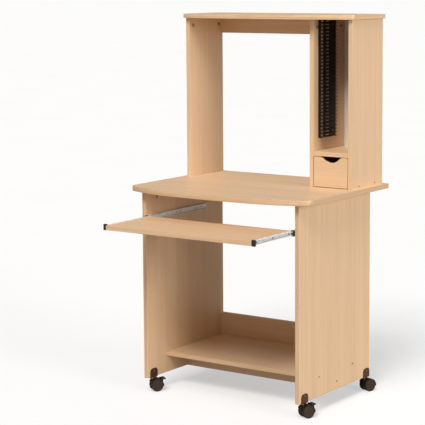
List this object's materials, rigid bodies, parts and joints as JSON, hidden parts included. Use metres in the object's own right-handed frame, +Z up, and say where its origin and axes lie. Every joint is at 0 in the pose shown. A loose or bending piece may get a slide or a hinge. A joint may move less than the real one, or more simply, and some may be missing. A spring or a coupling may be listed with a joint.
{
  "type": "computer desk",
  "caption": "Rolling computer desk: bow-fronted worktop, sliding keyboard tray, computer shelf, and a hutch with a bowed top, disc racks and a drawer.",
  "frame": {"origin": "on the floor, at the middle of the footprint with the keyboard tray pulled out", "axes": "+Z up; the user stands on the -Y side; +X is the user's right"},
  "size_m": [0.774, 0.798, 1.4],
  "materials": {
    "melamine_board": "satin melamine, pale beech with a fine upright grain",
    "drawer_board": "satin melamine, pale beech",
    "back_board": "thin hardboard with a pale painted face",
    "slide_steel": "zinc-plated rolled steel",
    "cage_steel": "zinc-plated steel with bright balls",
    "cap_plastic": "moulded, slightly rough",
    "rack_plastic": "moulded, slightly rough",
    "bracket_metal": "dark brown powder coat",
    "caster_plastic": "moulded nylon, satin",
    "lever_plastic": "moulded nylon, satin",
    "pin_steel": "turned steel",
    "wheel_plastic": "moulded nylon, satin",
    "screw_metal": "yellow zinc",
    "cam_metal": "die-cast zinc",
    "dowel_wood": "plain fluted beech"
  },
  "bodies": {
    "root": {"worktop": "melamine_board", "top_shelf": "melamine_board", "lower_side_left": "melamine_board", "lower_side_right": "melamine_board", "bottom_shelf": "melamine_board", "kick_rail": "melamine_board", "rear_board": "melamine_board", "hutch_side_left": "melamine_board", "hutch_side_right": "melamine_board", "hutch_divider": "melamine_board", "hutch_top_rail": "melamine_board", "compartment_shelf": "melamine_board", "compartment_floor": "melamine_board", "compartment_back": "back_board", "cd_rack_left": "rack_plastic", "cd_rack_right": "rack_plastic", "slide_outer_left": "slide_steel", "slide_outer_right": "slide_steel", "slide_stops": "cap_plastic", "caster_stems": "pin_steel", "carcass_screws": "screw_metal", "cam_fittings": "cam_metal", "dowels": "dowel_wood", "fixing_screws": "screw_metal", "caster_bracket_front_left": "bracket_metal", "caster_bracket_front_right": "bracket_metal", "caster_bracket_rear_left": "bracket_metal", "caster_bracket_rear_right": "bracket_metal"},
    "tray": {"keyboard_tray": "melamine_board", "slide_inner_left": "slide_steel", "slide_inner_right": "slide_steel", "slide_end_cap_left": "cap_plastic", "slide_end_cap_right": "cap_plastic", "tray_screws": "screw_metal"},
    "cage_left": {"slide_ball_cage_left": "cage_steel"},
    "cage_right": {"slide_ball_cage_right": "cage_steel"},
    "drawer": {"drawer_front": "melamine_board", "drawer_side_left": "drawer_board", "drawer_side_right": "drawer_board", "drawer_back": "drawer_board", "drawer_bottom": "drawer_board", "drawer_screws": "screw_metal"},
    "swivel_front_left": {"caster_housing_front_left": "caster_plastic", "caster_axle_front_left": "pin_steel"},
    "wheel_front_left_left": {"caster_wheel_front_left_left": "wheel_plastic"},
    "wheel_front_left_right": {"caster_wheel_front_left_right": "wheel_plastic"},
    "lever_front_left": {"brake_lever_front_left": "lever_plastic"},
    "swivel_front_right": {"caster_housing_front_right": "caster_plastic", "caster_axle_front_right": "pin_steel"},
    "wheel_front_right_left": {"caster_wheel_front_right_left": "wheel_plastic"},
    "wheel_front_right_right": {"caster_wheel_front_right_right": "wheel_plastic"},
    "lever_front_right": {"brake_lever_front_right": "lever_plastic"},
    "swivel_rear_left": {"caster_housing_rear_left": "caster_plastic", "caster_axle_rear_left": "pin_steel"},
    "wheel_rear_left_left": {"caster_wheel_rear_left_left": "wheel_plastic"},
    "wheel_rear_left_right": {"caster_wheel_rear_left_right": "wheel_plastic"},
    "swivel_rear_right": {"caster_housing_rear_right": "caster_plastic", "caster_axle_rear_right": "pin_steel"},
    "wheel_rear_right_left": {"caster_wheel_rear_right_left": "wheel_plastic"},
    "wheel_rear_right_right": {"caster_wheel_rear_right_right": "wheel_plastic"}
  },
  "joints": [
    {"name": "tray_slide", "type": "slide", "parent": "root", "child": "tray", "axis": [0, 1, 0], "range_m": [0, 0.2335]},
    {"name": "cage_left_slide", "type": "slide", "parent": "root", "child": "cage_left", "axis": [0, 1, 0], "range_m": [0, 0.11675]},
    {"name": "cage_right_slide", "type": "slide", "parent": "root", "child": "cage_right", "axis": [0, 1, 0], "range_m": [0, 0.11675]},
    {"name": "drawer_slide", "type": "slide", "parent": "root", "child": "drawer", "axis": [0, -1, 0], "range_m": [0, 0.15]},
    {"name": "swivel_front_left_turn", "type": "hinge", "parent": "root", "child": "swivel_front_left", "pos_m": [-0.3315, -0.113, 0.0225], "axis": [0, 0, 1], "continuous": true},
    {"name": "wheel_front_left_left_spin", "type": "hinge", "parent": "swivel_front_left", "child": "wheel_front_left_left", "pos_m": [-0.32165, -0.10039, 0.0225], "axis": [0.788, -0.6157, 0], "continuous": true},
    {"name": "wheel_front_left_right_spin", "type": "hinge", "parent": "swivel_front_left", "child": "wheel_front_left_right", "pos_m": [-0.32165, -0.10039, 0.0225], "axis": [0.788, -0.6157, 0], "continuous": true},
    {"name": "lever_front_left_press", "type": "hinge", "parent": "swivel_front_left", "child": "lever_front_left", "pos_m": [-0.31011, -0.08563, 0.04331], "axis": [-0.788, 0.6157, 0], "range_deg": [0, 18]},
    {"name": "swivel_front_right_turn", "type": "hinge", "parent": "root", "child": "swivel_front_right", "pos_m": [0.3315, -0.113, 0.0225], "axis": [0, 0, 1], "continuous": true},
    {"name": "wheel_front_right_left_spin", "type": "hinge", "parent": "swivel_front_right", "child": "wheel_front_right_left", "pos_m": [0.33851, -0.09862, 0.0225], "axis": [0.8988, -0.4384, 0], "continuous": true},
    {"name": "wheel_front_right_right_spin", "type": "hinge", "parent": "swivel_front_right", "child": "wheel_front_right_right", "pos_m": [0.33851, -0.09862, 0.0225], "axis": [0.8988, -0.4384, 0], "continuous": true},
    {"name": "lever_front_right_press", "type": "hinge", "parent": "swivel_front_right", "child": "lever_front_right", "pos_m": [0.34673, -0.08178, 0.04331], "axis": [-0.8988, 0.4384, 0], "range_deg": [0, 18]},
    {"name": "swivel_rear_left_turn", "type": "hinge", "parent": "root", "child": "swivel_rear_left", "pos_m": [-0.3315, 0.32, 0.0225], "axis": [0, 0, 1], "continuous": true},
    {"name": "wheel_rear_left_left_spin", "type": "hinge", "parent": "swivel_rear_left", "child": "wheel_rear_left_left", "pos_m": [-0.32603, 0.33504, 0.0225], "axis": [0.9397, -0.342, 0], "continuous": true},
    {"name": "wheel_rear_left_right_spin", "type": "hinge", "parent": "swivel_rear_left", "child": "wheel_rear_left_right", "pos_m": [-0.32603, 0.33504, 0.0225], "axis": [0.9397, -0.342, 0], "continuous": true},
    {"name": "swivel_rear_right_turn", "type": "hinge", "parent": "root", "child": "swivel_rear_right", "pos_m": [0.3315, 0.32, 0.0225], "axis": [0, 0, 1], "continuous": true},
    {"name": "wheel_rear_right_left_spin", "type": "hinge", "parent": "swivel_rear_right", "child": "wheel_rear_right_left", "pos_m": [0.33749, 0.33483, 0.0225], "axis": [0.9272, -0.3746, 0], "continuous": true},
    {"name": "wheel_rear_right_right_spin", "type": "hinge", "parent": "swivel_rear_right", "child": "wheel_rear_right_right", "pos_m": [0.33749, 0.33483, 0.0225], "axis": [0.9272, -0.3746, 0], "continuous": true}
  ],
  "couplings": [
    {"joint": "cage_left_slide", "follows": "tray_slide", "ratio": 0.5},
    {"joint": "cage_right_slide", "follows": "tray_slide", "ratio": 0.5}
  ]
}
